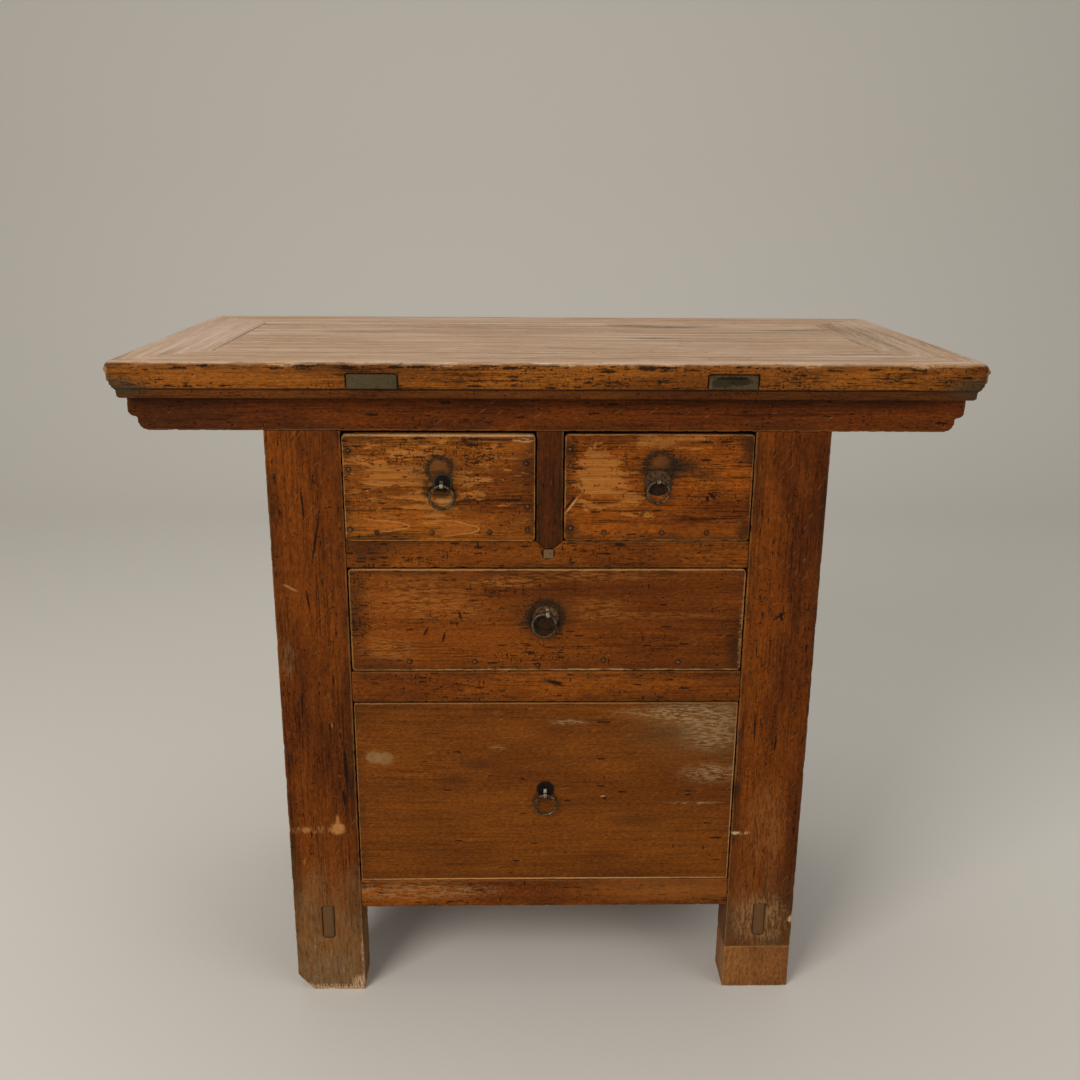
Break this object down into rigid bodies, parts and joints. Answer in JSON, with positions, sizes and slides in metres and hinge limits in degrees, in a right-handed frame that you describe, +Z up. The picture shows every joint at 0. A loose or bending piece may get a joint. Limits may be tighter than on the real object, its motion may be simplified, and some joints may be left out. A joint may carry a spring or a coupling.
{
  "type": "side cabinet",
  "caption": "Antique-style framed side cabinet: overhanging mitred top, tall square legs, lobed apron, drawers with small iron ring pulls.",
  "frame": {"origin": "on the floor, under the middle of the top", "axes": "+X to the viewer's right along the front, +Y from the front to the back, +Z up"},
  "size_m": [1.008, 0.504, 0.8662],
  "materials": {
    "lacquered_elm": "worn satin",
    "drawer_front": "worn satin",
    "bare_top": "dry matte",
    "raw_wood": "raw matte",
    "repair_wood": "satin",
    "iron": "dark forged"
  },
  "bodies": {
    "case": {"apron_back": "lacquered_elm", "apron_front": "lacquered_elm", "back_panel": "raw_wood", "back_rails": "raw_wood", "drawer_divider": "lacquered_elm", "foot_block": "repair_wood", "guide_centre": "raw_wood", "leg_back_left": "lacquered_elm", "leg_back_right": "lacquered_elm", "leg_front_left": "lacquered_elm", "leg_front_right": "lacquered_elm", "rail_lower": "lacquered_elm", "rail_middle": "lacquered_elm", "rail_upper": "lacquered_elm", "runner_centre": "raw_wood", "runners_deep": "raw_wood", "runners_small": "raw_wood", "runners_wide": "raw_wood", "side_panel_left": "lacquered_elm", "side_panel_right": "lacquered_elm", "side_rails_lower": "lacquered_elm", "side_rails_upper": "lacquered_elm", "top_back_member": "bare_top", "top_brace_left": "raw_wood", "top_brace_right": "raw_wood", "top_front_member": "bare_top", "top_left_member": "bare_top", "top_panel": "bare_top", "top_right_member": "bare_top"},
    "drawer_small_left": {"drawer_small_left_back": "raw_wood", "drawer_small_left_bottom": "raw_wood", "drawer_small_left_front": "drawer_front", "drawer_small_left_nails": "iron", "drawer_small_left_pull_plate": "iron", "drawer_small_left_pull_staple": "iron", "drawer_small_left_sides": "raw_wood"},
    "drawer_small_left_ring": {"drawer_small_left_pull_ring": "iron"},
    "drawer_small_right": {"drawer_small_right_back": "raw_wood", "drawer_small_right_bottom": "raw_wood", "drawer_small_right_front": "drawer_front", "drawer_small_right_nails": "iron", "drawer_small_right_pull_plate": "iron", "drawer_small_right_pull_staple": "iron", "drawer_small_right_sides": "raw_wood"},
    "drawer_small_right_ring": {"drawer_small_right_pull_ring": "iron"},
    "drawer_wide": {"drawer_wide_back": "raw_wood", "drawer_wide_bottom": "raw_wood", "drawer_wide_front": "drawer_front", "drawer_wide_nails": "iron", "drawer_wide_pull_plate": "iron", "drawer_wide_pull_staple": "iron", "drawer_wide_sides": "raw_wood"},
    "drawer_wide_ring": {"drawer_wide_pull_ring": "iron"},
    "drawer_deep": {"drawer_deep_back": "raw_wood", "drawer_deep_bottom": "raw_wood", "drawer_deep_front": "drawer_front", "drawer_deep_pull_plate": "iron", "drawer_deep_pull_staple": "iron", "drawer_deep_sides": "raw_wood"},
    "drawer_deep_ring": {"drawer_deep_pull_ring": "iron"}
  },
  "joints": [
    {"name": "drawer_small_left_slide", "type": "slide", "parent": "case", "child": "drawer_small_left", "axis": [0, -1, 0], "range_m": [0, 0.3]},
    {"name": "drawer_small_left_ring_swing", "type": "hinge", "parent": "drawer_small_left", "child": "drawer_small_left_ring", "pos_m": [-0.12773, -0.2319, 0.7167], "axis": [-1, 0, 0], "range_deg": [-5, 175]},
    {"name": "drawer_small_right_slide", "type": "slide", "parent": "case", "child": "drawer_small_right", "axis": [0, -1, 0], "range_m": [0, 0.3]},
    {"name": "drawer_small_right_ring_swing", "type": "hinge", "parent": "drawer_small_right", "child": "drawer_small_right_ring", "pos_m": [0.13093, -0.2289, 0.7217], "axis": [-1, 0, 0], "range_deg": [-5, 175]},
    {"name": "drawer_wide_slide", "type": "slide", "parent": "case", "child": "drawer_wide", "axis": [0, -1, 0], "range_m": [0, 0.3]},
    {"name": "drawer_wide_ring_swing", "type": "hinge", "parent": "drawer_wide", "child": "drawer_wide_ring", "pos_m": [0.0001, -0.2259, 0.5515], "axis": [-1, 0, 0], "range_deg": [-5, 175]},
    {"name": "drawer_deep_slide", "type": "slide", "parent": "case", "child": "drawer_deep", "axis": [0, -1, 0], "range_m": [0, 0.3]},
    {"name": "drawer_deep_ring_swing", "type": "hinge", "parent": "drawer_deep", "child": "drawer_deep_ring", "pos_m": [-0.0008, -0.2266, 0.30155], "axis": [-1, 0, 0], "range_deg": [-5, 175]}
  ]
}
